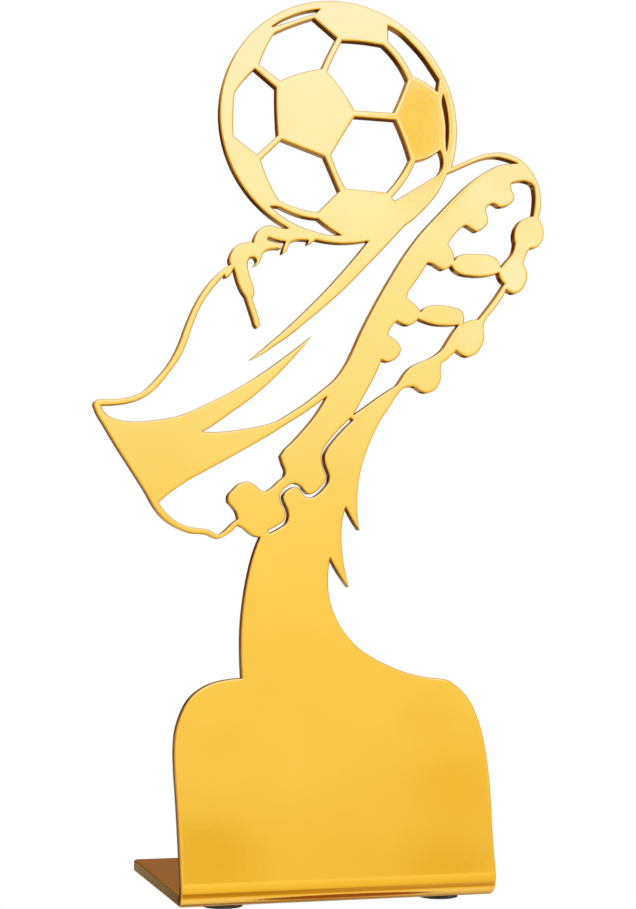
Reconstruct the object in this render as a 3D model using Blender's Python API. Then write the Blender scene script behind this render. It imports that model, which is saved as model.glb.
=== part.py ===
"""Figure trophy: one plate cut as a football and a boot, its lower end bent back into a foot on four pads.

Metres, +Z up, front face towards -Y. The flat outlines are given in millimetres on the front face: x to the
right, z up from the underside of the foot, drawn before the plate is bent.
"""

import math

import bmesh
import bpy
from mathutils import Matrix, Vector

MM = 0.001
PLATE_T = 3.0
BEND_OUTER_R = 6.3
BEND_STEPS = 9
FOOT_DEPTH = 65.0
FOOT_LEFT = -39.4
FOOT_RIGHT = 40.5
FOOT_BACK_LEFT = -40.2
FOOT_BACK_RIGHT = 40.4
FOOT_CORNER_R = 1.5
PAD_DIA = 10.0
PAD_T = 0.7
PAD_INSET_X = 12.0
PAD_FRONT_Y = 11.6
PAD_BACK_Y = 56.0
PAD_GAP = 0.3
BALL_X = -1.38
BALL_Z = 193.73
BALL_R = 31.27
KERF_W = 0.75
CURVE_TOL = 0.015
ARC_STEP = 4.0
BEND_LENGTH = BEND_OUTER_R * math.pi / 2.0
FLAT_BACK = BEND_OUTER_R - BEND_LENGTH - (FOOT_DEPTH - BEND_OUTER_R)
FLAT_FOOT_TOP = BEND_OUTER_R - BEND_LENGTH


def corner(x, z):
    """A sharp point of an outline; the plain pairs between two of them lie on one smooth curve."""
    return (x, z, True)


def arc_points(cx, cz, r, a0, a1, step=ARC_STEP):
    """Points on a circle from angle a0 to a1 in degrees, both ends included."""
    n = max(2, int(math.ceil(abs(a1 - a0) / step)))
    angles = [math.radians(a0 + (a1 - a0) * i / n) for i in range(n + 1)]
    return [(cx + r * math.cos(a), cz + r * math.sin(a)) for a in angles]


def foot_points():
    """Foot and bend, unrolled below the panel: right edge down, round the back corners, left edge up."""
    r = FOOT_CORNER_R
    right = arc_points(FOOT_BACK_RIGHT - r, FLAT_BACK + r, r, 0.0, -90.0, 22.5)
    left = arc_points(FOOT_BACK_LEFT + r, FLAT_BACK + r, r, -90.0, -180.0, 22.5)
    points = [corner(39.75, BEND_OUTER_R), corner(FOOT_RIGHT, FLAT_FOOT_TOP)]
    points += [corner(*p) for p in right + left]
    points += [corner(FOOT_LEFT, FLAT_FOOT_TOP), corner(-40.1, BEND_OUTER_R)]
    return points


PANEL_LEFT = [
    (-40.6, 15.0), (-41.3, 25.0), (-42.0, 34.0), (-42.1, 38.5), (-41.8, 42.0), (-40.8, 45.5), (-38.4, 49.9),
    (-35.9, 52.0), (-33.0, 53.4), (-29.5, 54.2), corner(-25.7, 54.6),
]
COLUMN_LEFT = [
    (-26.0, 60.0), (-26.0, 66.0), (-25.7, 70.5), (-25.05, 75.5), (-24.1, 80.5), (-22.9, 85.0),
    corner(-21.5, 88.6), (-23.2, 88.95), (-24.5, 89.8), (-25.7, 90.8), corner(-27.2, 91.4),
]
HEEL = [
    (-28.5, 90.0), (-30.0, 88.95), (-31.9, 88.1), (-33.35, 88.45), (-34.45, 89.0), (-36.0, 89.2),
    (-38.5, 89.3), (-41.0, 90.1), (-43.55, 91.3), (-45.9, 93.1), (-47.85, 95.5), (-49.6, 98.5),
    (-53.2, 104.0), (-57.2, 110.0), (-60.0, 114.5), (-62.4, 118.7), (-62.7, 119.9), (-62.0, 120.8),
    (-60.8, 121.0), (-58.0, 121.1), (-55.4, 121.5), (-52.8, 122.3), (-50.7, 123.4), (-48.9, 125.1),
    (-46.8, 127.5), (-44.9, 130.0), (-43.3, 132.7), (-42.1, 135.4), (-40.4, 140.2), (-38.4, 145.0),
    (-35.3, 150.1), (-32.9, 152.9), (-31.2, 154.4), corner(-29.6, 155.5),
]
LACE_BUMPS = [
    (-29.9, 156.4), (-29.7, 157.8), (-29.1, 159.2), (-28.0, 160.4), (-26.4, 161.15), corner(-23.8, 161.4),
    (-23.6, 162.6), (-23.0, 164.0), (-21.9, 165.2), (-20.4, 165.85), (-18.6, 165.95), (-17.4, 165.6),
    corner(-15.0, 165.5),
]
BALL_RIM = arc_points(BALL_X, BALL_Z, BALL_R, 243.4, -17.3)
TOE_CAP = [
    corner(28.5, 184.5), (30.3, 185.4), (32.6, 186.5), (35.1, 187.65), (37.6, 188.65), (40.0, 189.15),
    (42.5, 189.35), (45.0, 188.9), (47.6, 187.8), (50.3, 185.4), (52.4, 181.85), (53.15, 178.4),
    (53.2, 175.8), (52.75, 173.6), corner(52.5, 172.5),
]
STUD_1_RIGHT = [
    (53.4, 171.2), (53.85, 169.6), (53.75, 167.9), (53.0, 166.1), (51.8, 164.95), corner(50.15, 164.7),
]
STUD_2_RIGHT = [
    (49.2, 163.4), (48.6, 162.0), corner(48.1, 160.4), (48.95, 158.9), (49.2, 157.3), (48.85, 155.6),
    (47.9, 153.95), (46.75, 152.85), (45.35, 152.5), (44.2, 152.85), corner(43.3, 153.4),
]
STUD_3_RIGHT = [
    (42.5, 151.6), (41.2, 149.7), (39.4, 147.4), (37.8, 145.5), (37.15, 144.1), (37.05, 142.3),
    (37.2, 140.6), (36.6, 138.6), (35.5, 136.9), (34.0, 135.75), (32.6, 135.45), (31.3, 135.8),
    corner(29.6, 136.9),
]
STUD_4_RIGHT = [
    (28.6, 135.9), (27.35, 134.8), corner(25.6, 133.5), (25.35, 131.7), (25.45, 129.7), (24.8, 128.0),
    (23.8, 126.6), (22.5, 125.9), (21.2, 125.75), (19.9, 126.1), (18.7, 126.9), corner(17.9, 127.2),
    (16.3, 127.0), corner(15.0, 126.35),
]
TONGUE = [
    (13.4, 124.45), (11.6, 121.6), (9.6, 118.7), (7.9, 115.6), (6.3, 112.0), (4.9, 108.2), (4.0, 104.8),
    (3.45, 101.0), (3.25, 97.0), (3.5, 93.3), corner(3.85, 90.8), (2.4, 92.7), (1.3, 94.5),
    corner(0.3, 96.4),
]
COLUMN_RIGHT = [
    (-0.35, 94.0), (-0.7, 91.5), (-0.75, 88.5), (-0.5, 85.0), (-0.05, 82.0), (0.5, 79.3), corner(1.1, 76.7),
    (-0.5, 78.6), (-2.1, 81.0), corner(-3.7, 83.8), (-4.1, 80.5), (-4.15, 77.0), (-3.7, 73.7), (-2.7, 70.5),
    (-1.2, 67.5), (1.0, 64.5), (3.6, 61.9), (6.6, 59.9), (10.0, 58.15), (13.0, 56.8), (16.5, 55.6),
    (20.0, 54.8), (23.0, 54.3), (25.5, 54.1), (27.3, 53.7), (29.0, 52.6), (31.15, 50.8), (33.25, 48.15),
    (34.9, 44.65), (36.2, 40.6), (37.2, 36.0), (38.0, 30.3), (38.55, 23.8), (38.9, 17.0), (39.3, 11.5),
]
OUTER = (PANEL_LEFT + COLUMN_LEFT + HEEL + LACE_BUMPS + BALL_RIM + TOE_CAP + STUD_1_RIGHT + STUD_2_RIGHT
         + STUD_3_RIGHT + STUD_4_RIGHT + TONGUE + COLUMN_RIGHT + foot_points())

ANKLE_OPENING = [
    corner(-60.9, 119.5), (-57.8, 119.7), (-55.0, 120.15), (-52.4, 120.9), (-49.8, 122.25), (-47.0, 124.75),
    (-45.0, 127.3), (-43.0, 130.1), (-41.4, 132.7), (-40.2, 135.65), (-38.7, 140.15), (-36.7, 145.0),
    (-33.6, 149.7), corner(-31.05, 152.75), corner(-30.8, 152.3), (-30.0, 152.4), (-29.3, 153.3),
    corner(-28.7, 154.6), (-28.2, 152.8), (-27.5, 150.7), (-26.6, 148.9), corner(-25.7, 147.7),
    (-24.9, 145.4), (-23.8, 142.3), (-23.2, 140.6), (-22.6, 140.1), (-22.05, 140.6), (-22.2, 142.2),
    (-23.0, 144.9), corner(-23.95, 147.3), (-23.5, 148.2), (-23.5, 149.8), (-24.2, 151.8), (-24.9, 154.0),
    (-25.15, 156.2), (-24.6, 157.4), (-23.6, 157.65), (-23.0, 157.0), corner(-23.6, 155.6), (-22.6, 156.0),
    (-21.8, 157.1), (-21.35, 158.6), (-20.3, 159.6), (-18.6, 160.1), corner(-16.8, 160.3),
    corner(-16.9, 161.5), (-18.6, 161.8), corner(-20.2, 162.3), corner(-19.9, 162.9), (-18.0, 162.4),
    corner(-15.6, 162.1), (-16.05, 161.0), corner(-16.4, 159.1), (-15.4, 159.6), (-14.95, 160.5),
    (-14.4, 161.8), (-13.2, 162.5), corner(-11.6, 162.8), corner(-9.7, 162.8), corner(-9.9, 161.8),
    (-8.8, 162.3), corner(-7.8, 163.1), (-5.0, 162.7), (-2.0, 162.55), (1.2, 162.75), corner(5.9, 163.6),
    (0.1, 156.4), (-5.0, 150.6), (-10.0, 145.4), (-15.0, 140.5), (-20.0, 136.0), corner(-24.3, 132.1),
    (-22.0, 133.2), (-18.5, 135.6), (-15.0, 138.1), (-10.0, 142.3), (-4.9, 146.7), (0.1, 151.4),
    (5.15, 156.75), (10.2, 162.1), corner(15.65, 168.15), (17.8, 169.8), (20.0, 171.9), (22.5, 174.6),
    (24.8, 177.7), (26.2, 180.4), corner(27.2, 182.5), (30.0, 183.9), (33.0, 185.4), (36.0, 186.8),
    (38.5, 187.6), (41.0, 187.95), (43.5, 187.65), corner(46.6, 186.8), (43.5, 186.4), (41.0, 185.7),
    (37.5, 183.8), (34.0, 181.2), (30.0, 177.4), (25.0, 172.1), (20.0, 166.6), (15.15, 160.0), (12.3, 155.4),
    (9.4, 150.45), (6.35, 144.85), (4.05, 140.3), (2.1, 135.9), (0.0, 131.8), (-2.8, 128.0), (-6.0, 125.3),
    (-10.0, 122.1), (-14.0, 119.4), (-17.5, 117.3), (-21.0, 116.1), (-26.0, 115.0), (-31.0, 114.2),
    corner(-36.0, 114.0), (-33.0, 115.9), (-29.5, 118.5), (-24.9, 121.9), (-19.85, 126.25), (-14.85, 131.35),
    corner(-8.7, 138.7), (-15.0, 133.7), (-20.0, 129.9), (-25.0, 126.5), (-30.0, 123.5), (-35.0, 120.9),
    (-39.0, 118.9), (-43.0, 117.4), (-47.5, 116.5), (-52.5, 115.9), (-56.5, 116.2), (-59.5, 117.4),
]
HEEL_OPENING = [
    corner(-46.6, 96.6), (-43.5, 99.2), (-40.0, 101.7), (-35.0, 104.6), (-30.0, 107.4), (-25.0, 110.3),
    (-20.0, 113.3), (-15.0, 116.5), (-10.0, 119.8), corner(-4.8, 123.7), (-6.8, 120.3), (-9.0, 117.3),
    (-11.4, 114.5), (-13.75, 111.95), (-15.75, 109.95), corner(-16.5, 108.6), (-15.9, 106.6),
    (-15.25, 105.0), (-15.5, 103.8), (-17.0, 102.4), (-18.8, 100.7), (-20.6, 99.9), (-21.9, 100.5),
    (-23.2, 101.6), (-24.9, 102.2), (-26.6, 101.7), (-28.4, 100.1), (-29.6, 98.6), (-29.6, 97.2),
    (-28.6, 96.0), (-27.6, 94.7), corner(-27.1, 93.0), (-28.3, 92.1), (-29.8, 90.6), (-31.2, 89.45),
    (-32.35, 89.2), (-33.4, 89.8), (-34.7, 90.35), (-37.05, 90.6), (-39.55, 91.0), (-42.05, 92.0),
    (-44.45, 93.85),
]
SOLE_OPENING = [
    corner(2.3, 119.5), (4.4, 123.35), (6.4, 126.9), (8.25, 130.4), corner(9.55, 133.65), (11.1, 133.2),
    (12.8, 133.7), (14.2, 135.1), (14.7, 136.5), (14.1, 138.0), (12.9, 139.1), corner(11.3, 140.1),
    (12.1, 142.0), corner(13.7, 143.7), (15.2, 143.0), (16.85, 142.75), (18.2, 143.4), corner(19.3, 144.5),
    (21.3, 143.8), (23.8, 143.25), (26.8, 143.15), corner(30.1, 143.5), (28.5, 141.4), (27.1, 139.2),
    (25.6, 136.95), (23.8, 135.5), (21.8, 134.4), (19.8, 133.6), (17.6, 132.4), (15.8, 130.7), (14.6, 128.9),
    corner(13.6, 127.4), (10.0, 125.1), (6.0, 122.2),
]
MIDDLE_OPENING = [
    corner(20.0, 146.4), (21.2, 147.6), (23.0, 148.25), (25.8, 148.45), (28.6, 148.1), (30.95, 147.35),
    (31.7, 145.9), corner(31.5, 144.1), (33.2, 144.9), corner(35.6, 145.25), (38.35, 148.65),
    (40.65, 151.75), corner(42.75, 154.95), (41.7, 156.1), corner(41.2, 157.6), (39.2, 156.85),
    (36.5, 156.4), (33.5, 156.35), (30.8, 156.7), (29.1, 157.6), corner(28.3, 158.7), (27.3, 158.0),
    (26.0, 157.55), (24.6, 158.1), (23.4, 158.8), corner(21.9, 159.1), (19.9, 155.9), (17.9, 153.0),
    (16.7, 151.3), corner(16.35, 149.6), (17.9, 148.6), (19.1, 147.6),
]
TOE_OPENING = [
    corner(29.1, 160.2), (30.2, 161.5), (32.2, 162.05), (35.5, 162.2), (38.35, 162.2), (40.5, 161.45),
    corner(41.9, 159.1), (43.3, 160.8), (44.85, 162.6), corner(45.8, 165.85), (45.5, 167.4), (45.75, 169.15),
    (46.8, 171.1), (48.5, 172.4), corner(50.9, 173.2), (51.35, 176.2), (51.4, 179.2), (50.8, 181.45),
    (48.9, 182.2), (46.7, 182.0), (44.8, 181.0), (45.05, 179.45), (45.7, 177.9), (44.95, 176.25),
    (43.1, 175.15), (41.5, 174.95), (39.9, 175.7), (38.3, 174.9), (37.8, 173.8), (38.3, 172.1),
    (38.25, 170.4), (36.9, 168.9), (35.1, 168.05), (33.75, 168.7), (32.25, 169.4), (30.6, 168.35),
    (29.05, 166.65), (27.7, 164.8), corner(27.4, 164.1), (28.55, 162.75), (29.0, 161.4),
]
BALL_HEX_TOP = [
    corner(-1.1, 214.8), (4.4, 215.0), corner(9.8, 214.7), (13.55, 211.0), corner(16.4, 206.25),
    (14.65, 201.6), corner(12.7, 197.3), corner(2.3, 197.0), (-1.2, 202.0), corner(-4.95, 206.4),
    (-3.2, 210.5),
]
BALL_HEX_RIGHT = [
    corner(2.3, 195.35), corner(13.2, 195.45), (15.4, 190.6), corner(17.1, 185.6), (14.3, 180.7),
    corner(10.9, 176.5), corner(0.0, 176.7), (-2.1, 180.6), corner(-3.85, 185.05), (-0.95, 190.05),
]
BALL_HEX_LEFT = [
    corner(-2.55, 215.35), corner(-8.5, 219.85), (-14.0, 217.5), corner(-18.8, 214.9), (-21.0, 210.9),
    corner(-22.65, 206.6), corner(-17.3, 202.9), (-12.0, 205.4), corner(-6.5, 207.0), (-4.7, 211.1),
]
BALL_HEX_FAR_LEFT = [
    corner(-18.3, 201.1), corner(-23.8, 205.3), (-26.6, 202.1), corner(-28.85, 198.8), (-29.2, 193.3),
    corner(-29.05, 187.8), corner(-23.1, 183.6), corner(-17.8, 188.9), (-18.2, 195.0),
]
BALL_HEX_LOW_LEFT = [
    corner(-16.7, 187.9), (-11.2, 186.2), corner(-5.6, 184.5), corner(-1.7, 175.9), corner(-7.3, 170.1),
    (-12.2, 170.8), corner(-17.3, 172.4), (-20.0, 177.0), corner(-22.1, 182.3),
]
RIM_SLIT_TOP_LEFT = [
    corner(-19.4, 216.6), (-17.3, 218.2), (-14.6, 219.7), (-11.5, 221.1), corner(-7.1, 222.3),
    corner(-8.3, 221.0), (-11.2, 219.9), (-14.2, 218.6),
]
RIM_SLIT_TOP_RIGHT = [
    corner(11.1, 219.9), (14.35, 218.45), (17.4, 216.0), (20.4, 213.05), (22.9, 209.85),
    corner(24.95, 206.95), corner(24.5, 203.9), (21.1, 206.1), corner(17.8, 207.3), (14.95, 211.95),
    corner(11.25, 215.8),
]
RIM_SLIT_RIGHT = [
    corner(26.1, 203.2), (26.9, 200.4), (27.4, 197.4), (27.55, 194.0), (27.4, 191.0), corner(27.0, 188.5),
    (26.8, 191.5), (26.8, 195.0), (26.3, 198.5), (25.8, 201.2),
]
RIM_SLIT_LOW_RIGHT = [
    corner(18.7, 185.2), (22.0, 186.3), corner(25.2, 188.5), (25.9, 186.5), (25.85, 184.2),
    corner(24.6, 182.1), (19.0, 178.4), corner(13.0, 174.5), corner(12.3, 175.4), (15.7, 179.6),
]
RIM_SLIT_LOW_LEFT = [
    corner(-19.5, 170.7), (-17.6, 170.75), (-15.0, 169.8), (-12.0, 168.9), corner(-7.2, 168.4),
    (-4.4, 166.4), corner(-1.3, 164.7), (-4.5, 164.6), (-8.0, 165.2), (-12.0, 166.3), (-15.5, 167.9),
]
SOLE_KERF = [
    (1.8, 118.4), (-0.5, 116.2), (-2.7, 113.8), (-4.7, 111.2), (-5.6, 109.3), (-5.6, 107.6), (-5.0, 105.7),
    (-4.4, 104.0), (-4.6, 102.7), (-5.7, 101.2), (-7.1, 99.8), (-8.5, 99.1), (-9.8, 99.2), (-10.7, 100.0),
    (-11.6, 101.1), (-12.8, 101.6), (-14.3, 101.0), (-15.7, 99.8), (-16.2, 98.6), (-15.8, 97.1),
    (-15.0, 95.4), (-14.75, 93.8), (-15.2, 92.5), (-16.8, 91.3), (-19.3, 90.0),
]
OPENINGS = [
    ANKLE_OPENING, HEEL_OPENING, SOLE_OPENING, MIDDLE_OPENING, TOE_OPENING, BALL_HEX_TOP, BALL_HEX_RIGHT,
    BALL_HEX_LEFT, BALL_HEX_FAR_LEFT, BALL_HEX_LOW_LEFT, RIM_SLIT_TOP_LEFT, RIM_SLIT_TOP_RIGHT,
    RIM_SLIT_RIGHT, RIM_SLIT_LOW_RIGHT, RIM_SLIT_LOW_LEFT,
]


def tangents(points):
    """Slope at every point of a smooth run, from its neighbours; the ends bend like their first stretch."""
    spans = [max((b - a).length, 1e-9) for a, b in zip(points, points[1:])]
    slopes = [(b - a) / s for a, b, s in zip(points, points[1:], spans)]
    inner = [(slopes[i] * spans[i + 1] + slopes[i + 1] * spans[i]) / (spans[i] + spans[i + 1])
             for i in range(len(slopes) - 1)]
    if not inner:
        return [slopes[0], slopes[0]], spans
    return [slopes[0] * 2.0 - inner[0]] + inner + [slopes[-1] * 2.0 - inner[-1]], spans


def smooth_run(points, tol):
    """A cubic curve through the points, cut into straight steps within tol; the last point is left off."""
    pts = [Vector(p) for p in points]
    slopes, spans = tangents(pts)
    out = []
    for p, q, m, k, span in zip(pts, pts[1:], slopes, slopes[1:], spans):
        a = p + m * (span / 3.0)
        b = q - k * (span / 3.0)
        bulge = max((p - 2.0 * a + b).length, (a - 2.0 * b + q).length)
        steps = max(1, int(math.ceil(math.sqrt(0.75 * bulge / tol))))
        for i in range(steps):
            t = i / steps
            u = 1.0 - t
            out.append(p * u ** 3 + a * (3.0 * u * u * t) + b * (3.0 * u * t * t) + q * t ** 3)
    return out


def outline(points, tol=CURVE_TOL):
    """A closed outline from corner to corner."""
    marks = [i for i, p in enumerate(points) if len(p) == 3]
    turned = points[marks[0]:] + points[:marks[0]] + [points[marks[0]]]
    loop = []
    run = [turned[0][:2]]
    for p in turned[1:]:
        run.append(p[:2])
        if len(p) == 3:
            loop += smooth_run(run, tol)
            run = [p[:2]]
    return loop


def kerf_outline(centre, width, tol=CURVE_TOL):
    """A narrow saw-like cut of one width along a curved line, square at both ends."""
    line = smooth_run(centre, tol) + [Vector(centre[-1])]
    left = []
    right = []
    for i, p in enumerate(line):
        along = (line[min(i + 1, len(line) - 1)] - line[max(i - 1, 0)]).normalized()
        side = Vector((-along.y, along.x)) * (width / 2.0)
        left.append(p + side)
        right.append(p - side)
    return left + right[::-1]


def metal_material():
    mat = bpy.data.materials.new("gold_plated_steel")
    mat.use_nodes = True
    shader = mat.node_tree.nodes["Principled BSDF"]
    shader.inputs["Base Color"].default_value = (0.94, 0.66, 0.20, 1.0)
    shader.inputs["Metallic"].default_value = 1.0
    shader.inputs["Roughness"].default_value = 0.16
    return mat


def pad_material():
    mat = bpy.data.materials.new("dark_rubber")
    mat.use_nodes = True
    shader = mat.node_tree.nodes["Principled BSDF"]
    shader.inputs["Base Color"].default_value = (0.03, 0.03, 0.035, 1.0)
    shader.inputs["Metallic"].default_value = 0.0
    shader.inputs["Roughness"].default_value = 0.8
    return mat


def flat_blank(loops):
    """The cut plate before bending, as a filled 2D curve given its thickness."""
    curve = bpy.data.curves.new("blank_curve", "CURVE")
    curve.dimensions = "2D"
    curve.fill_mode = "BOTH"
    curve.extrude = PLATE_T * MM / 2.0
    for loop in loops:
        spline = curve.splines.new("POLY")
        spline.points.add(len(loop) - 1)
        for point, (x, z) in zip(spline.points, loop):
            point.co = (x * MM, z * MM, 0.0, 1.0)
        spline.use_cyclic_u = True
    helper = bpy.data.objects.new("blank_curve", curve)
    bpy.context.scene.collection.objects.link(helper)
    bpy.context.view_layer.update()
    mesh = bpy.data.meshes.new_from_object(helper)
    bpy.data.objects.remove(helper)
    return mesh


def bend(point):
    """Carries a point of the flat blank round the bend and onto the foot."""
    below = BEND_OUTER_R * MM - point.z
    if below <= 0.0:
        return point
    radius = BEND_OUTER_R * MM - point.y
    angle = min(below / (BEND_OUTER_R * MM), math.pi / 2.0)
    run_out = max(0.0, below - BEND_LENGTH * MM)
    centre = BEND_OUTER_R * MM
    return Vector((point.x, centre - radius * math.cos(angle) + run_out, centre - radius * math.sin(angle)))


def figure_plate(collection, shift):
    loops = [outline(OUTER)] + [outline(o) for o in OPENINGS] + [kerf_outline(SOLE_KERF, KERF_W)]
    mesh = flat_blank(loops)
    bm = bmesh.new()
    bm.from_mesh(mesh)
    bmesh.ops.remove_doubles(bm, verts=bm.verts, dist=2e-6)
    bmesh.ops.transform(bm, matrix=Matrix.Rotation(math.pi / 2.0, 4, "X"), verts=bm.verts)
    bmesh.ops.translate(bm, vec=(0.0, PLATE_T * MM / 2.0, 0.0), verts=bm.verts)
    for i in range(BEND_STEPS + 1):
        level = (BEND_OUTER_R - BEND_LENGTH * i / BEND_STEPS) * MM
        parts = bm.verts[:] + bm.edges[:] + bm.faces[:]
        bmesh.ops.bisect_plane(
            bm, geom=parts, dist=1e-7, plane_co=(0.0, 0.0, level), plane_no=(0.0, 0.0, 1.0))
    for vert in bm.verts:
        vert.co = bend(vert.co) + shift
    bmesh.ops.recalc_face_normals(bm, faces=bm.faces)
    bm.to_mesh(mesh)
    bm.free()
    mesh.name = "figure_plate"
    mesh.materials.append(metal_material())
    mesh.shade_smooth()
    mesh.set_sharp_from_angle(angle=math.radians(28.0))
    plate = bpy.data.objects.new("figure_plate", mesh)
    collection.objects.link(plate)
    return plate


def pad(collection, name, x, y, material):
    bpy.ops.mesh.primitive_cylinder_add(
        vertices=32, radius=PAD_DIA * MM / 2.0, depth=PAD_T * MM, location=(x, y, PAD_T * MM / 2.0))
    disc = bpy.context.active_object
    disc.name = name
    disc.data.name = name
    disc.data.materials.append(material)
    disc.data.shade_smooth()
    disc.data.set_sharp_from_angle(angle=math.radians(40.0))
    for owner in list(disc.users_collection):
        owner.objects.unlink(disc)
    collection.objects.link(disc)
    return disc


def main():
    for obj in list(bpy.data.objects):
        bpy.data.objects.remove(obj)
    collection = bpy.data.collections.new("figure_trophy")
    bpy.context.scene.collection.children.link(collection)
    xs = [p.x for p in outline(OUTER)]
    shift = Vector((-(min(xs) + max(xs)) / 2.0, -FOOT_DEPTH / 2.0, PAD_T + PAD_GAP)) * MM
    figure_plate(collection, shift)
    rubber = pad_material()
    left = (FOOT_LEFT + PAD_INSET_X) * MM + shift.x
    right = (FOOT_RIGHT - PAD_INSET_X) * MM + shift.x
    front = PAD_FRONT_Y * MM + shift.y
    back = PAD_BACK_Y * MM + shift.y
    pad(collection, "pad_front_left", left, front, rubber)
    pad(collection, "pad_front_right", right, front, rubber)
    pad(collection, "pad_back_left", left, back, rubber)
    pad(collection, "pad_back_right", right, back, rubber)


main()
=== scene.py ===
"""Looks for the figure trophy: a gold-plated steel plate, bent into a foot, on four rubber pads.

Metres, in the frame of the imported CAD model: +Z up, front face towards -Y.
"""

import math

import bmesh
import bpy
import numpy as np
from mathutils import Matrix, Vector
from mathutils.geometry import delaunay_2d_cdt


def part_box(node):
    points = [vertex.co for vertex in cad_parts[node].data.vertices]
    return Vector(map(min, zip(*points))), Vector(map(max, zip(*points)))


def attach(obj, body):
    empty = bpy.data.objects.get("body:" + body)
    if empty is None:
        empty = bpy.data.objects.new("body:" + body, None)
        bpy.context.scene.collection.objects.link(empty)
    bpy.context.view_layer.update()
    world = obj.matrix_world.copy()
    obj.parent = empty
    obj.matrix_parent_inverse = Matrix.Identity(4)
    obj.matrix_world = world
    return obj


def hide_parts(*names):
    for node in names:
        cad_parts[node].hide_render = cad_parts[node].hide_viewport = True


MM = 0.001
PLATE = "figure_plate"
PLATE_T = 3.0 * MM
BEND_R = 6.3 * MM
RIM_R = 0.42 * MM
RIM_STEPS = 5
ROLL_W = 0.5 * MM
ROLL_TILT = math.radians(1.4)
ROLL_STEPS = 2
CORNER_TURN = math.radians(26.0)
FAN_STEP = math.radians(24.0)
MAX_STEP = 1.2 * MM
SAME_PLACE = 1e-6
WELD = 2e-6
FACE_TOL = 1e-5
BEND_TOL = 1e-6
CORNER_STEPS = (0.12 * MM, 0.3 * MM, 0.6 * MM, 1.1 * MM)
SAMPLE_STEP = 0.25 * MM
NEAR_CORNER = 3.0 * MM
RIM_SHARE = 0.6
ROLL_SHARE = 0.85
MITER_FLOOR = 0.35
BEND_LINES = 36.0

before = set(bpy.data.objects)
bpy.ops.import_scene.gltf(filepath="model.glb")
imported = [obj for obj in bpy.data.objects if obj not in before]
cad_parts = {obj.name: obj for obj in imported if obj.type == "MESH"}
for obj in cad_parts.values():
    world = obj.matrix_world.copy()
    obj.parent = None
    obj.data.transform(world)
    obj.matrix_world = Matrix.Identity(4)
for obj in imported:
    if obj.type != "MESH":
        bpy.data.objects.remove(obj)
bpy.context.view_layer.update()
plate_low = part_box(PLATE)[0]


# ---------------------------------------------------------------- shape of the plate, unrolled flat

def unroll(p):
    """Across, into the plate from its front face, and up, with the bend rolled out flat."""
    y = p.y - plate_low.y
    z = p.z - plate_low.z
    if z >= BEND_R - 1e-7 and y < PLATE_T + 1e-6:
        return p.x, y, z
    if y > BEND_R:
        return p.x, z, BEND_R - BEND_R * math.pi / 2.0 - (y - BEND_R)
    dy = BEND_R - y
    dz = BEND_R - z
    return p.x, BEND_R - math.hypot(dy, dz), BEND_R - BEND_R * math.atan2(dz, dy)


def roll(x, depth, z):
    """The row-frame place of a flat point, and how far its face is turned about the x axis."""
    below = BEND_R - z
    if below <= 0.0:
        return (x, plate_low.y + depth, plate_low.z + z), 0.0
    angle = min(below / BEND_R, math.pi / 2.0)
    radius = BEND_R - depth
    out = max(0.0, below - BEND_R * math.pi / 2.0)
    y = BEND_R - radius * math.cos(angle) + out
    return (x, plate_low.y + y, plate_low.z + BEND_R - radius * math.sin(angle)), angle


def front_loops():
    """The outlines of the front face, flat, with the metal on the left of each."""
    bm = bmesh.new()
    bm.from_mesh(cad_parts[PLATE].data)
    bmesh.ops.remove_doubles(bm, verts=bm.verts, dist=WELD)
    flat = {v: unroll(v.co) for v in bm.verts}
    front = {f for f in bm.faces if all(flat[v][1] < FACE_TOL for v in f.verts)}
    follow = {}
    for f in front:
        for loop in f.loops:
            if any(other not in front for other in loop.edge.link_faces if other is not f):
                follow[loop.vert] = loop.link_loop_next.vert
    loops = []
    while follow:
        start = min(follow, key=lambda v: v.index)
        loop = []
        at = start
        while at in follow:
            loop.append((flat[at][0], flat[at][2]))
            at = follow.pop(at)
        loops.append(np.array(loop))
    bm.free()
    return loops


def turns(points):
    """Signed turn of the outline at each point: above 0 where the metal's corner sticks out."""
    a = points - np.roll(points, 1, axis=0)
    b = np.roll(points, -1, axis=0) - points
    return np.arctan2(a[:, 0] * b[:, 1] - a[:, 1] * b[:, 0], (a * b).sum(axis=1))


def cuts(length, corner_a, corner_b, bend_zone):
    """Where along a stretch extra points go: close together next to a sharp corner."""
    if bend_zone:
        return [0.5 * length]
    near = [d for d in CORNER_STEPS if d < 0.45 * length]
    spots = []
    if corner_a:
        spots += near
    if corner_b:
        spots += [length - d for d in near]
    spots = sorted([0.0] + spots + [length])
    out = []
    for a, b in zip(spots, spots[1:]):
        n = max(1, int(math.ceil((b - a) / MAX_STEP)))
        out += [a + (b - a) * i / n for i in range(n)]
    return out[1:]


def refined(points):
    """The outline with extra points beside its corners and across the bend."""
    turn = turns(points)
    bend_start = BEND_R + BEND_TOL
    bend_end = BEND_R * (1.0 - math.pi / 2.0) - BEND_TOL
    out = []
    for i, p in enumerate(points):
        j = (i + 1) % len(points)
        q = points[j]
        length = float(np.hypot(*(q - p)))
        in_bend = max(p[1], q[1]) <= bend_start and min(p[1], q[1]) >= bend_end
        out.append(p)
        for d in cuts(length, abs(turn[i]) > CORNER_TURN, abs(turn[j]) > CORNER_TURN, in_bend):
            out.append(p + (q - p) * (d / length))
    return np.array(out)


def side_normals(points):
    """The way out of the metal, in the plane, on the stretch that starts at each point."""
    b = np.roll(points, -1, axis=0) - points
    b /= np.hypot(b[:, 0], b[:, 1])[:, None]
    return np.stack([b[:, 1], -b[:, 0]], axis=1)


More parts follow.
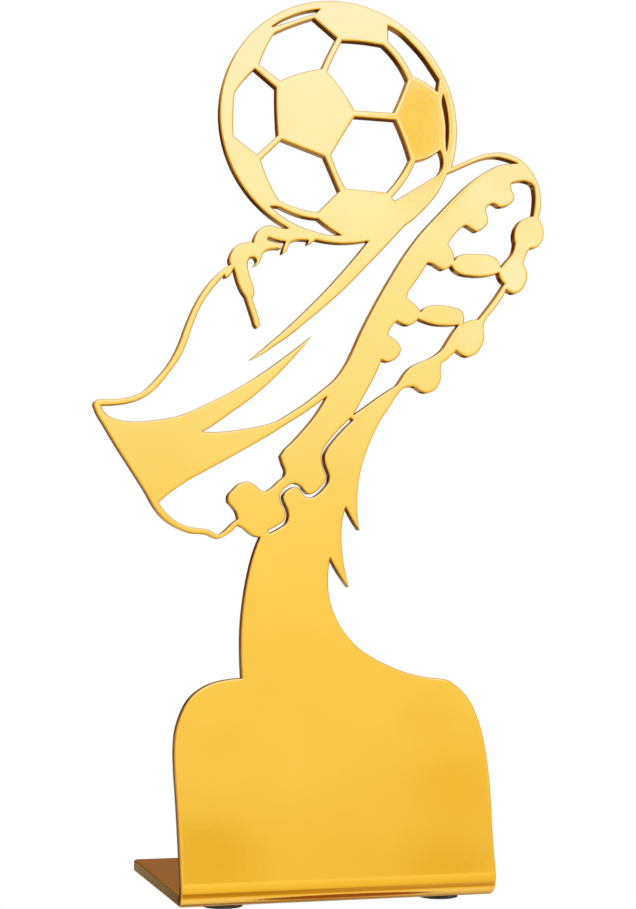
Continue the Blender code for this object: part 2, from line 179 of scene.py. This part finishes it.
def stations(points):
    """Places along an outline, each with the way out of the metal, fanned round inward corners."""
    after = side_normals(points)
    before = np.roll(after, 1, axis=0)
    turn = turns(points)
    made = []
    for p, n0, n1, t in zip(points, before, after, turn):
        if t < -CORNER_TURN:
            steps = int(math.ceil(-t / FAN_STEP))
            for k in range(steps + 1):
                a = t * k / steps
                c, s = math.cos(a), math.sin(a)
                made.append((p, np.array([n0[0] * c - n0[1] * s, n0[0] * s + n0[1] * c]), 1.0, False))
        else:
            mean = n0 + n1
            miter = 1.0 / max(math.cos(t / 2.0), MITER_FLOOR)
            made.append((p, mean / np.hypot(*mean), miter, t > CORNER_TURN))
    return [np.array(column) for column in zip(*made)]


def densely(points):
    """The outline again with a point at least every quarter of a millimetre."""
    out = []
    for p, q in zip(points, np.roll(points, -1, axis=0)):
        n = max(1, int(math.ceil(np.hypot(*(q - p)) / SAMPLE_STEP)))
        out += [p + (q - p) * (i / n) for i in range(n)]
    return out


def room_inside(loops, lines):
    """For each station, the radius of the largest circle in the metal that touches the outline there."""
    every = np.array([p for points in loops for p in densely(points)])
    rooms = []
    for spots, out, _, _ in lines:
        room = np.full(len(spots), 1.0)
        for i, p in enumerate(spots):
            d = every - p
            far = (d * d).sum(axis=1)
            ahead = -(d @ out[i])
            ok = (ahead > 1e-9) & (far > (0.24 * MM) ** 2)
            room[i] = (far[ok] / (2.0 * ahead[ok])).min()
        span = np.hypot(*(np.roll(spots, -1, axis=0) - spots).T)
        run = np.concatenate([[0.0], np.cumsum(span)])
        total = run[-1]
        turn = turns(spots)
        for i in np.nonzero((turn > CORNER_TURN) & (span > 1e-9) & (np.roll(span, 1) > 1e-9))[0]:
            apart = np.abs(run[:-1] - run[i])
            apart = np.minimum(apart, total - apart)
            near = apart < NEAR_CORNER
            half = (math.pi - turn[i]) / 2.0
            room[near] = np.minimum(room[near], apart[near] * math.tan(half) + 1e-9)
        rooms.append(room)
    return rooms


def profile():
    """Rings from the cut wall to the flat face: shares of the rim and of the roll-off, and tilt."""
    rings = []
    full = math.pi / 2.0 - ROLL_TILT
    for i in range(RIM_STEPS + 1):
        a = full * i / RIM_STEPS
        rings.append((1.0 - math.cos(a), 1.0 - math.sin(a), 0.0, a))
    for i in range(1, ROLL_STEPS + 1):
        s = i / ROLL_STEPS
        rings.append((1.0 - math.cos(full), 0.0, s, math.pi / 2.0 - ROLL_TILT * (1.0 - s)))
    return rings


def plate_mesh():
    """The whole plate: cut walls, rounded rims and a slight roll-off at every edge, then the two faces."""
    loops = [refined(p) for p in front_loops()]
    lines = [stations(p) for p in loops]
    rooms = room_inside(loops, lines)
    rings = profile()
    places = []
    runs = []
    faces = []
    normals = []
    cut = []

    def add(x, depth, z, run):
        places.append((x, depth, z))
        runs.append(run)
        return len(places) - 1

    def corner_normal(plane, tilt, front):
        face = -1.0 if front else 1.0
        c = math.cos(tilt)
        return plane[0] * c, face * math.sin(tilt), plane[1] * c

    inner = {True: [], False: []}
    for (points, mean, miter, sharp), room in zip(lines, rooms):
        n = len(points)
        ahead = np.roll(points, -1, axis=0) - points
        length = np.hypot(ahead[:, 0], ahead[:, 1])
        run = np.concatenate([[0.0], np.cumsum(length)])
        rim = np.minimum(RIM_R, RIM_SHARE * room)
        roll_w = np.clip(ROLL_SHARE * room - rim, 0.0, ROLL_W)
        index = {}
        for front in (True, False):
            rows = []
            for shrink, sink, along, tilt in rings:
                inset = rim * shrink + roll_w * along
                if along > 0.0:
                    depth = ROLL_TILT * roll_w * (1.0 - along) ** 2 / 2.0
                else:
                    depth = rim * sink + ROLL_TILT * roll_w / 2.0
                spot = points - mean * (inset * miter)[:, None]
                row = []
                for i in range(n):
                    d = depth[i] if front else PLATE_T - depth[i]
                    near = [r[k] for r, k in ((rows[-1] if rows else None, i), (row, -1)) if r]
                    for v in near:
                        x, was, z = places[v]
                        if abs(x - spot[i][0]) + abs(z - spot[i][1]) + abs(was - d) < SAME_PLACE:
                            row.append(v)
                            break
                    else:
                        row.append(add(spot[i][0], d, spot[i][1], run[i]))
                rows.append(row)
            index[front] = rows
            inner[front].append(rows[-1])
        for i in range(n):
            j = (i + 1) % n
            side = (ahead[i][1], -ahead[i][0]) / length[i] if length[i] > 1e-9 else mean[i]
            plane_i = side if sharp[i] else mean[i]
            plane_j = side if sharp[j] else mean[j]

            def quad(a, b, c, d, tilts, fronts, is_cut):
                corners = [(a, plane_i, tilts[0], fronts[0]), (b, plane_j, tilts[0], fronts[0]),
                           (c, plane_j, tilts[1], fronts[1]), (d, plane_i, tilts[1], fronts[1])]
                kept = [x for k, x in enumerate(corners) if x[0] != corners[k - 1][0]]
                if len({x[0] for x in kept}) < 3:
                    return
                kept.reverse()
                faces.append([x[0] for x in kept])
                normals.append([corner_normal(x[1], x[2], x[3]) for x in kept])
                cut.append(is_cut)

            front_rows = index[True]
            back_rows = index[False]
            quad(front_rows[0][i], front_rows[0][j], back_rows[0][j], back_rows[0][i],
                 (0.0, 0.0), (True, False), 1.0)
            for k in range(len(rings) - 1):
                tilts = (rings[k][3], rings[k + 1][3])
                wall = 1.0 if k < 1 else 0.0
                quad(front_rows[k + 1][i], front_rows[k + 1][j], front_rows[k][j], front_rows[k][i],
                     tilts[::-1], (True, True), wall)
                quad(back_rows[k][i], back_rows[k][j], back_rows[k + 1][j], back_rows[k + 1][i],
                     tilts, (False, False), wall)
    fill(places, faces, normals, cut, inner)
    runs += [0.0] * (len(places) - len(runs))
    return rolled_mesh(places, runs, faces, normals, cut)


def fill(places, faces, normals, cut, inner):
    """Closes the front and back faces between their innermost rings, with cross lines over the bend."""
    for front in (True, False):
        coords = []
        regions = []
        ids = []
        for row in inner[front]:
            ring = [v for k, v in enumerate(row) if v != row[k - 1]]
            regions.append([len(coords) + k for k in range(len(ring))])
            coords += [Vector((places[v][0], places[v][2])) for v in ring]
            ids += ring
        spans = [max(coords[k].y for k in region) - min(coords[k].y for k in region) for region in regions]
        outer = spans.index(max(spans))
        for k, region in enumerate(regions):
            if k != outer:
                region.reverse()
        edges = []
        levels = {}
        for k, co in enumerate(coords):
            if BEND_R * (1.0 - math.pi / 2.0) - 0.3 * MM < co.y < BEND_R + 0.3 * MM:
                levels.setdefault(round((BEND_R - co.y) / (BEND_R * math.pi / BEND_LINES)), []).append(k)
        for members in levels.values():
            members.sort(key=lambda k: coords[k].x)
            if len(members) >= 2:
                edges.append((members[0], members[-1]))
        verts, _, tris, origins, _, owners = delaunay_2d_cdt(coords, edges, regions, 0, 1e-8, True)
        tris = [tri for tri, owner in zip(tris, owners) if set(owner) == {outer}]
        own = []
        for v, origin in zip(verts, origins):
            if origin:
                own.append(ids[origin[0]])
            else:
                places.append((v.x, 0.0 if front else PLATE_T, v.y))
                own.append(len(places) - 1)
        face = -1.0 if front else 1.0
        for tri in tris:
            corners = [own[k] for k in tri]
            if len(set(corners)) < 3:
                continue
            (ax, _, az), (bx, _, bz), (cx, _, cz) = (places[k] for k in corners)
            turned = (bx - ax) * (cz - az) - (bz - az) * (cx - ax)
            if (turned > 0.0) != front:
                corners.reverse()
            faces.append(corners)
            normals.append([(0.0, face, 0.0)] * 3)
            cut.append(0.0)


def rolled_mesh(places, runs, faces, normals, cut):
    """The finished mesh, rolled round the bend, with its own normals and a mark on the cut walls."""
    placed = [roll(*p) for p in places]
    mesh = bpy.data.meshes.new("plate_body")
    mesh.from_pydata([p[0] for p in placed], [], faces)
    flat_normals = []
    for face, face_normals in zip(faces, normals):
        for v, (nx, ny, nz) in zip(face, face_normals):
            a = placed[v][1]
            c, s = math.cos(a), math.sin(a)
            flat_normals.append((nx, ny * c + nz * s, nz * c + ny * s))
    mesh.shade_smooth()
    mark = mesh.attributes.new("cut_wall", "FLOAT", "FACE")
    mark.data.foreach_set("value", cut)
    along = mesh.attributes.new("wall_run", "FLOAT", "POINT")
    along.data.foreach_set("value", runs)
    mesh.normals_split_custom_set(flat_normals)
    mesh.validate()
    mesh.update()
    return mesh


# ---------------------------------------------------------------- materials

class Graph:
    """Short calls for a node tree."""

    def __init__(self, tree):
        self.tree = tree
        self.tree.nodes.clear()

    def node(self, kind, **settings):
        made = self.tree.nodes.new(kind)
        for key, value in settings.items():
            setattr(made, key, value)
        return made

    def link(self, a, b):
        self.tree.links.new(a, b)

    def math(self, operation, a, b=None):
        made = self.node("ShaderNodeMath", operation=operation)
        for socket, value in zip(made.inputs, (a, b)):
            if value is None:
                continue
            if isinstance(value, (int, float)):
                socket.default_value = value
            else:
                self.link(value, socket)
        return made.outputs[0]

    def noise(self, vector, scale, detail):
        made = self.node("ShaderNodeTexNoise")
        made.inputs["Scale"].default_value = scale
        made.inputs["Detail"].default_value = detail
        self.link(vector, made.inputs["Vector"])
        return made.outputs["Fac"]

    def streaks(self, along, scale):
        """Noise that varies only along one length, as the fine lines a cutting beam leaves."""
        made = self.node("ShaderNodeTexNoise", noise_dimensions="1D")
        made.inputs["Scale"].default_value = scale
        made.inputs["Detail"].default_value = 2.0
        self.link(along, made.inputs["W"])
        return made.outputs["Fac"]

    def span(self, value, from_low, from_high, to_low, to_high, smooth=False):
        made = self.node("ShaderNodeMapRange", clamp=True)
        if smooth:
            made.interpolation_type = "SMOOTHSTEP"
        self.link(value, made.inputs["Value"])
        made.inputs["From Min"].default_value = from_low
        made.inputs["From Max"].default_value = from_high
        made.inputs["To Min"].default_value = to_low
        made.inputs["To Max"].default_value = to_high
        return made.outputs["Result"]

    def mix(self, factor, a, b):
        made = self.node("ShaderNodeMix", data_type="RGBA")
        for socket, value in ((made.inputs[0], factor), (made.inputs[6], a), (made.inputs[7], b)):
            if isinstance(value, (int, float)):
                socket.default_value = value
            elif isinstance(value, tuple):
                socket.default_value = value + (1.0,)
            else:
                self.link(value, socket)
        return made.outputs[2]

    def bump(self, height, distance, normal=None):
        made = self.node("ShaderNodeBump")
        made.inputs["Strength"].default_value = 1.0
        made.inputs["Distance"].default_value = distance
        self.link(height, made.inputs["Height"])
        if normal is not None:
            self.link(normal, made.inputs["Normal"])
        return made.outputs["Normal"]


# Where the plating is grainier, in mm: across from the plate's left side, up from its base, and reach.
SPECKLED = [(81.7, 176.0, 9.0), (105.7, 184.0, 7.0), (111.7, 168.5, 5.0)]
SPECKLE_GAIN = 3.5
WAVE_DEPTH = 0.00002
PEEL_DEPTH = 0.0000025
SPECK_DEPTH = 0.000003
STRIATION_DEPTH = 0.000006
STRIATION_SCALE = 3200.0
RUBBER_GRAIN_DEPTH = 0.00004


def gold_material():
    mat = bpy.data.materials.new("gold_plating")
    mat.use_nodes = True
    g = Graph(mat.node_tree)
    shader = g.node("ShaderNodeBsdfPrincipled")
    out = g.node("ShaderNodeOutputMaterial")
    g.link(shader.outputs[0], out.inputs["Surface"])
    place = g.node("ShaderNodeTexCoord").outputs["Object"]
    cut = g.node("ShaderNodeAttribute", attribute_name="cut_wall").outputs["Fac"]
    run = g.node("ShaderNodeAttribute", attribute_name="wall_run").outputs["Fac"]
    cloud = g.noise(place, 35.0, 3.0)
    grain = g.noise(place, 900.0, 2.0)
    face = g.mix(g.span(cloud, 0.3, 0.7, 0.0, 1.0), (0.99, 0.665, 0.165), (0.965, 0.63, 0.15))
    # The cut walls get a dark brown base colour: painted shade, standing in for the dark studio that the
    # gold-plated walls reflect. The grain noise only varies that tone at random.
    wall = g.mix(g.span(grain, 0.3, 0.7, 0.0, 1.0), (0.30, 0.115, 0.016), (0.20, 0.07, 0.01))
    g.link(g.mix(cut, face, wall), shader.inputs["Base Color"])
    shader.inputs["Metallic"].default_value = 1.0
    face_rough = g.math("ADD", g.span(cloud, 0.3, 0.7, 0.03, 0.05), g.span(grain, 0.35, 0.75, 0.0, 0.02))
    rough = g.math("ADD", face_rough, g.math("MULTIPLY", cut, 0.16))
    g.link(rough, shader.inputs["Roughness"])
    wave = g.noise(place, 60.0, 1.0)
    peel = g.noise(place, 1000.0, 1.0)
    speck = g.noise(place, 2700.0, 1.0)
    for x, z, reach in SPECKLED:
        away = g.node("ShaderNodeVectorMath", operation="DISTANCE")
        g.link(place, away.inputs[0])
        away.inputs[1].default_value = (plate_low.x + x * MM, plate_low.y, plate_low.z + z * MM)
        near = g.span(away.outputs["Value"], 0.4 * reach * MM, reach * MM, SPECKLE_GAIN, 1.0, smooth=True)
        speck = g.math("MULTIPLY", speck, near)
    striation = g.math("MULTIPLY", g.streaks(run, STRIATION_SCALE), cut)
    normal = g.bump(wave, WAVE_DEPTH)
    normal = g.bump(peel, PEEL_DEPTH, normal)
    normal = g.bump(speck, SPECK_DEPTH, normal)
    normal = g.bump(striation, STRIATION_DEPTH, normal)
    g.link(normal, shader.inputs["Normal"])
    return mat


def rubber_material():
    mat = bpy.data.materials.new("dark_rubber_pad")
    mat.use_nodes = True
    g = Graph(mat.node_tree)
    shader = g.node("ShaderNodeBsdfPrincipled")
    out = g.node("ShaderNodeOutputMaterial")
    g.link(shader.outputs[0], out.inputs["Surface"])
    place = g.node("ShaderNodeTexCoord").outputs["Object"]
    grain = g.noise(place, 2500.0, 3.0)
    dust = g.noise(place, 260.0, 3.0)
    g.link(g.mix(g.span(dust, 0.45, 0.75, 0.0, 1.0), (0.028, 0.027, 0.027), (0.06, 0.058, 0.055)),
           shader.inputs["Base Color"])
    g.link(g.span(grain, 0.3, 0.7, 0.7, 0.9), shader.inputs["Roughness"])
    g.link(g.bump(grain, RUBBER_GRAIN_DEPTH), shader.inputs["Normal"])
    return mat


# ---------------------------------------------------------------- stage

# The surround is tuned light, not a plain one. Its colours were chosen for how the plating looks from the
# main camera. All angles are in degrees: azimuth from the front towards the right, elevation up.
SURROUND_R = 40.0
SKY_GAIN = 4.0
SKY_LOW = -180.0
SKY_SPAN = 270.0
WINDOW_SOFT_AZ = 2.5
WINDOW_SOFT_EL = 2.0
# Light by angle up from the front. Below -90 it goes on under the object and up behind it.
SKY_STOPS = [
    (-180.0, (1.00, 0.90, 0.50)),
    (-150.0, (1.00, 0.90, 0.50)),
    (-141.0, (0.29, 0.176, 0.15)),
    (-124.0, (0.36, 0.24, 0.10)),
    (-112.0, (0.80, 0.72, 0.45)),
    (-101.0, (0.92, 0.82, 0.50)),
    (-91.0, (0.99, 0.875, 0.58)),
    (-81.0, (0.89, 0.68, 0.27)),
    (-76.5, (0.62, 0.40, 0.07)),
    (-73.0, (0.578, 0.363, 0.05)),
    (-64.6, (0.49, 0.295, 0.036)),
    (-56.5, (0.51, 0.31, 0.045)),
    (-53.0, (0.84, 0.64, 0.17)),
    (-41.0, (0.926, 0.758, 0.203)),
    (-26.0, (0.979, 0.823, 0.297)),
    (-17.0, (1.005, 0.882, 0.38)),
    (-11.5, (1.005, 0.882, 0.39)),
    (-10.3, (0.93, 0.78, 0.28)),
    (-8.5, (0.935, 0.79, 0.30)),
    (-6.5, (0.96, 0.86, 0.43)),
    (-2.0, (0.998, 0.915, 0.462)),
    (1.1, (1.005, 0.943, 0.555)),
    (2.9, (1.01, 0.998, 0.69)),
    (6.1, (1.012, 1.093, 1.105)),
    (10.1, (1.015, 1.186, 1.56)),
    (11.7, (1.02, 1.246, 1.96)),
    (13.5, (1.02, 1.296, 2.39)),
    (17.0, (1.02, 1.33, 2.80)),
    (20.5, (1.03, 1.375, 3.42)),
    (30.0, (1.02, 1.34, 3.10)),
    (45.0, (0.97, 1.10, 1.80)),
    (90.0, (0.95, 1.00, 1.20)),
]
# Panels: azimuths, elevations, colour, and how soft the two edges are.
SIDE_PANELS = [
    ((-150.0, -22.0), (-55.0, 50.0), (0.72, 0.48, 0.19), 8.0, 12.0),
    ((32.0, 150.0), (-55.0, 50.0), (0.84, 0.64, 0.36), 6.0, 12.0),
]
BACK_PANEL = ((90.0, 200.0), (0.0, 120.0), (0.85, 0.56, 0.13), 4.0, 4.0)
# Dark openings, with azimuth from 0 to 360, which the cut walls mirror.
DARK_WINDOWS = [
    ((150.0, 172.0), (-28.0, -9.0), (0.20, 0.06, 0.004)),
    ((187.0, 208.0), (-24.0, -7.5), (0.12, 0.045, 0.003)),
    ((187.0, 208.0), (3.0, 30.0), (0.20, 0.06, 0.004)),
    ((186.0, 204.0), (-7.5, -3.5), (0.15, 0.07, 0.003)),
    ((186.0, 204.0), (-3.5, 3.0), (0.30, 0.12, 0.006)),
    ((171.0, 190.0), (4.5, 14.0), (0.20, 0.09, 0.02)),
    ((148.0, 174.0), (4.5, 30.0), (0.29, 0.145, 0.062)),
]
# A window and ovals that fall on single areas of the front face as the main camera sees it.
# From other places their reflections fall elsewhere. An oval is its centre, half sizes, colour and softness.
FRONT_WINDOWS = [
    ((18.35, 20.5), (14.7, 17.9), (1.01, 0.94, 0.52), 0.12, 0.15),
]
SOFT_PATCHES = [
    (22.9, 11.2, 2.0, 2.4, (1.02, 1.37, 3.10), 0.9),
    (22.3, 14.6, 1.4, 1.8, (1.02, 1.36, 3.20), 0.9),
    (21.3, 9.2, 1.0, 1.0, (1.02, 1.28, 2.50), 0.8),
    (18.5, 7.3, 0.6, 0.6, (1.02, 1.26, 2.10), 0.6),
    (19.8, 14.0, 0.8, 0.9, (0.95, 0.95, 0.50), 0.5),
    (22.35, 14.7, 0.6, 0.6, (0.97, 1.05, 0.95), 0.6),
    (23.05, 12.5, 0.45, 0.9, (0.96, 1.02, 0.70), 0.6),
    (20.6, -6.0, 2.6, 2.2, (0.92, 0.745, 0.23), 0.9),
    (19.8, -3.8, 2.0, 1.2, (0.95, 0.82, 0.34), 0.9),
    (12.4, -8.6, 2.6, 2.0, (0.85, 0.68, 0.16), 0.8),
    (12.6, -4.7, 1.4, 0.8, (0.95, 0.83, 0.36), 0.9),
    (20.4, -8.9, 2.2, 1.6, (0.85, 0.67, 0.16), 0.8),
]
# The reddish oval low in the bend: sideways share, angle, half sizes and colour.
UNDER_BEND = (0.287, -104.0, 0.055, 17.0, (0.31, 0.108, 0.02))
UNDER_BEND_SOFT = 0.25


def sky_material():
    """Light whose colour depends on the direction that it comes from."""
    mat = bpy.data.materials.new("studio_surround")
    mat.use_nodes = True
    g = Graph(mat.node_tree)
    place = g.node("ShaderNodeTexCoord").outputs["Object"]
    degrees = 180.0 / math.pi
    unit = g.node("ShaderNodeVectorMath", operation="NORMALIZE")
    g.link(place, unit.inputs[0])
    split = g.node("ShaderNodeSeparateXYZ")
    g.link(unit.outputs[0], split.inputs[0])
    x, y, z = split.outputs
    elevation = g.math("MULTIPLY", g.math("ARCSINE", z), degrees)
    azimuth = g.math("MULTIPLY", g.math("ARCTAN2", x, g.math("MULTIPLY", y, -1.0)), degrees)
    around = g.math("MODULO", g.math("ADD", azimuth, 360.0), 360.0)
    off_front = g.math("ABSOLUTE", azimuth)
    pitch = g.math("MULTIPLY", g.math("ARCTAN2", z, g.math("MULTIPLY", y, -1.0)), degrees)
    below = g.math("LESS_THAN", z, 0.0)
    height = g.math("ADD", g.math("MULTIPLY", pitch, below),
                    g.math("MULTIPLY", elevation, g.math("SUBTRACT", 1.0, below)))
    ramp = g.node("ShaderNodeValToRGB")
    ramp.color_ramp.interpolation = "LINEAR"
    stops = ramp.color_ramp.elements
    while len(stops) < len(SKY_STOPS):
        stops.new(0.5)
    for stop, (angle, colour) in zip(stops, SKY_STOPS):
        stop.position = (angle - SKY_LOW) / SKY_SPAN
        stop.color = tuple(c / SKY_GAIN for c in colour) + (1.0,)
    g.link(g.math("DIVIDE", g.math("SUBTRACT", height, SKY_LOW), SKY_SPAN), ramp.inputs[0])

    def between(value, low, high, soft):
        rise = g.span(value, low - soft, low + soft, 0.0, 1.0, smooth=True)
        fall = g.span(value, high - soft, high + soft, 1.0, 0.0, smooth=True)
        return g.math("MULTIPLY", rise, fall)

    def window(colour, across, az, el, tint, soft_az, soft_el):
        """Blends one soft-edged panel, between two azimuths and two elevations, over the light so far."""
        inside = g.math("MULTIPLY", between(across, *az, soft_az), between(elevation, *el, soft_el))
        return g.mix(inside, colour, tuple(c / SKY_GAIN for c in tint))

    def patch(colour, across, upward, az, el, half_az, half_el, tint, soft):
        """Blends one soft oval, centred on a direction, over the light so far."""
        da = g.math("DIVIDE", g.math("SUBTRACT", across, az), half_az)
        de = g.math("DIVIDE", g.math("SUBTRACT", upward, el), half_el)
        away = g.math("SQRT", g.math("ADD", g.math("MULTIPLY", da, da), g.math("MULTIPLY", de, de)))
        inside = g.span(away, 1.0 - soft, 1.0, 1.0, 0.0, smooth=True)
        return g.mix(inside, colour, tuple(c / SKY_GAIN for c in tint))

    colour = ramp.outputs["Color"]
    colour = patch(colour, x, pitch, *UNDER_BEND, UNDER_BEND_SOFT)
    colour = window(colour, off_front, *BACK_PANEL)
    for az, el, tint, soft_az, soft_el in SIDE_PANELS:
        colour = window(colour, azimuth, az, el, tint, soft_az, soft_el)
    for az, el, tint in DARK_WINDOWS:
        colour = window(colour, around, az, el, tint, WINDOW_SOFT_AZ, WINDOW_SOFT_EL)
    for az, el, tint, soft_az, soft_el in FRONT_WINDOWS:
        colour = window(colour, azimuth, az, el, tint, soft_az, soft_el)
    for az, el, half_az, half_el, tint, soft in SOFT_PATCHES:
        colour = patch(colour, azimuth, elevation, az, el, half_az, half_el, tint, soft)
    emit = g.node("ShaderNodeEmission")
    emit.inputs["Strength"].default_value = SKY_GAIN
    g.link(colour, emit.inputs["Color"])
    out = g.node("ShaderNodeOutputMaterial")
    g.link(emit.outputs[0], out.inputs["Surface"])
    return mat


def plain_material(name, colour, strength):
    mat = bpy.data.materials.new(name)
    mat.use_nodes = True
    g = Graph(mat.node_tree)
    emit = g.node("ShaderNodeEmission")
    emit.inputs["Color"].default_value = colour + (1.0,)
    emit.inputs["Strength"].default_value = strength
    out = g.node("ShaderNodeOutputMaterial")
    g.link(emit.outputs[0], out.inputs["Surface"])
    return mat


def stage_object(name, mesh, material):
    mesh.materials.append(material)
    obj = bpy.data.objects.new(name, mesh)
    bpy.context.scene.collection.objects.link(obj)
    return obj


def build_stage():
    bm = bmesh.new()
    bmesh.ops.create_uvsphere(bm, u_segments=48, v_segments=24, radius=SURROUND_R)
    mesh = bpy.data.meshes.new("surround")
    bm.to_mesh(mesh)
    bm.free()
    surround = stage_object("surround", mesh, sky_material())
    surround.location = (0.0, -0.03, 0.1)
    surround.visible_camera = False
    surround.visible_shadow = False
    bm = bmesh.new()
    bmesh.ops.create_grid(bm, x_segments=1, y_segments=1, size=3.0)
    mesh = bpy.data.meshes.new("floor")
    bm.to_mesh(mesh)
    bm.free()
    floor = stage_object("floor", mesh, plain_material("pale_floor", (1.0, 1.0, 1.0), 1.0))
    floor.visible_glossy = False
    world = bpy.data.worlds.new("white_room")
    bpy.context.scene.world = world
    world.use_nodes = True
    world.node_tree.nodes["Background"].inputs["Color"].default_value = (1.0, 1.0, 1.0, 1.0)
    world.node_tree.nodes["Background"].inputs["Strength"].default_value = 1.0
    world.cycles_visibility.glossy = False
    bpy.context.scene.view_settings.view_transform = "Standard"


def build_camera():
    data = bpy.data.cameras.new("camera")
    data.sensor_width = 36.0
    data.sensor_fit = "AUTO"
    data.lens = 66.98
    data.shift_x = -0.00055
    data.shift_y = 0.00055
    data.clip_start = 0.01
    data.clip_end = 20.0
    camera = bpy.data.objects.new("camera", data)
    camera.location = (-0.117371, -0.4322, 0.07316)
    camera.rotation_euler = tuple(math.radians(a) for a in (95.0831, -0.2909, -16.0659))
    bpy.context.scene.collection.objects.link(camera)
    bpy.context.scene.camera = camera


def build_object():
    mesh = plate_mesh()
    mesh.materials.append(gold_material())
    plate = bpy.data.objects.new("trophy_plate", mesh)
    bpy.context.scene.collection.objects.link(plate)
    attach(plate, "root")
    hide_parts(PLATE)
    rubber = rubber_material()
    for name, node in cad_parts.items():
        if name.startswith("pad_"):
            node.data.materials.clear()
            node.data.materials.append(rubber)
            soft = node.modifiers.new("soft_edge", "BEVEL")
            soft.width = 0.12 * MM
            soft.segments = 2
            soft.limit_method = "ANGLE"


build_camera()
build_stage()
build_object()
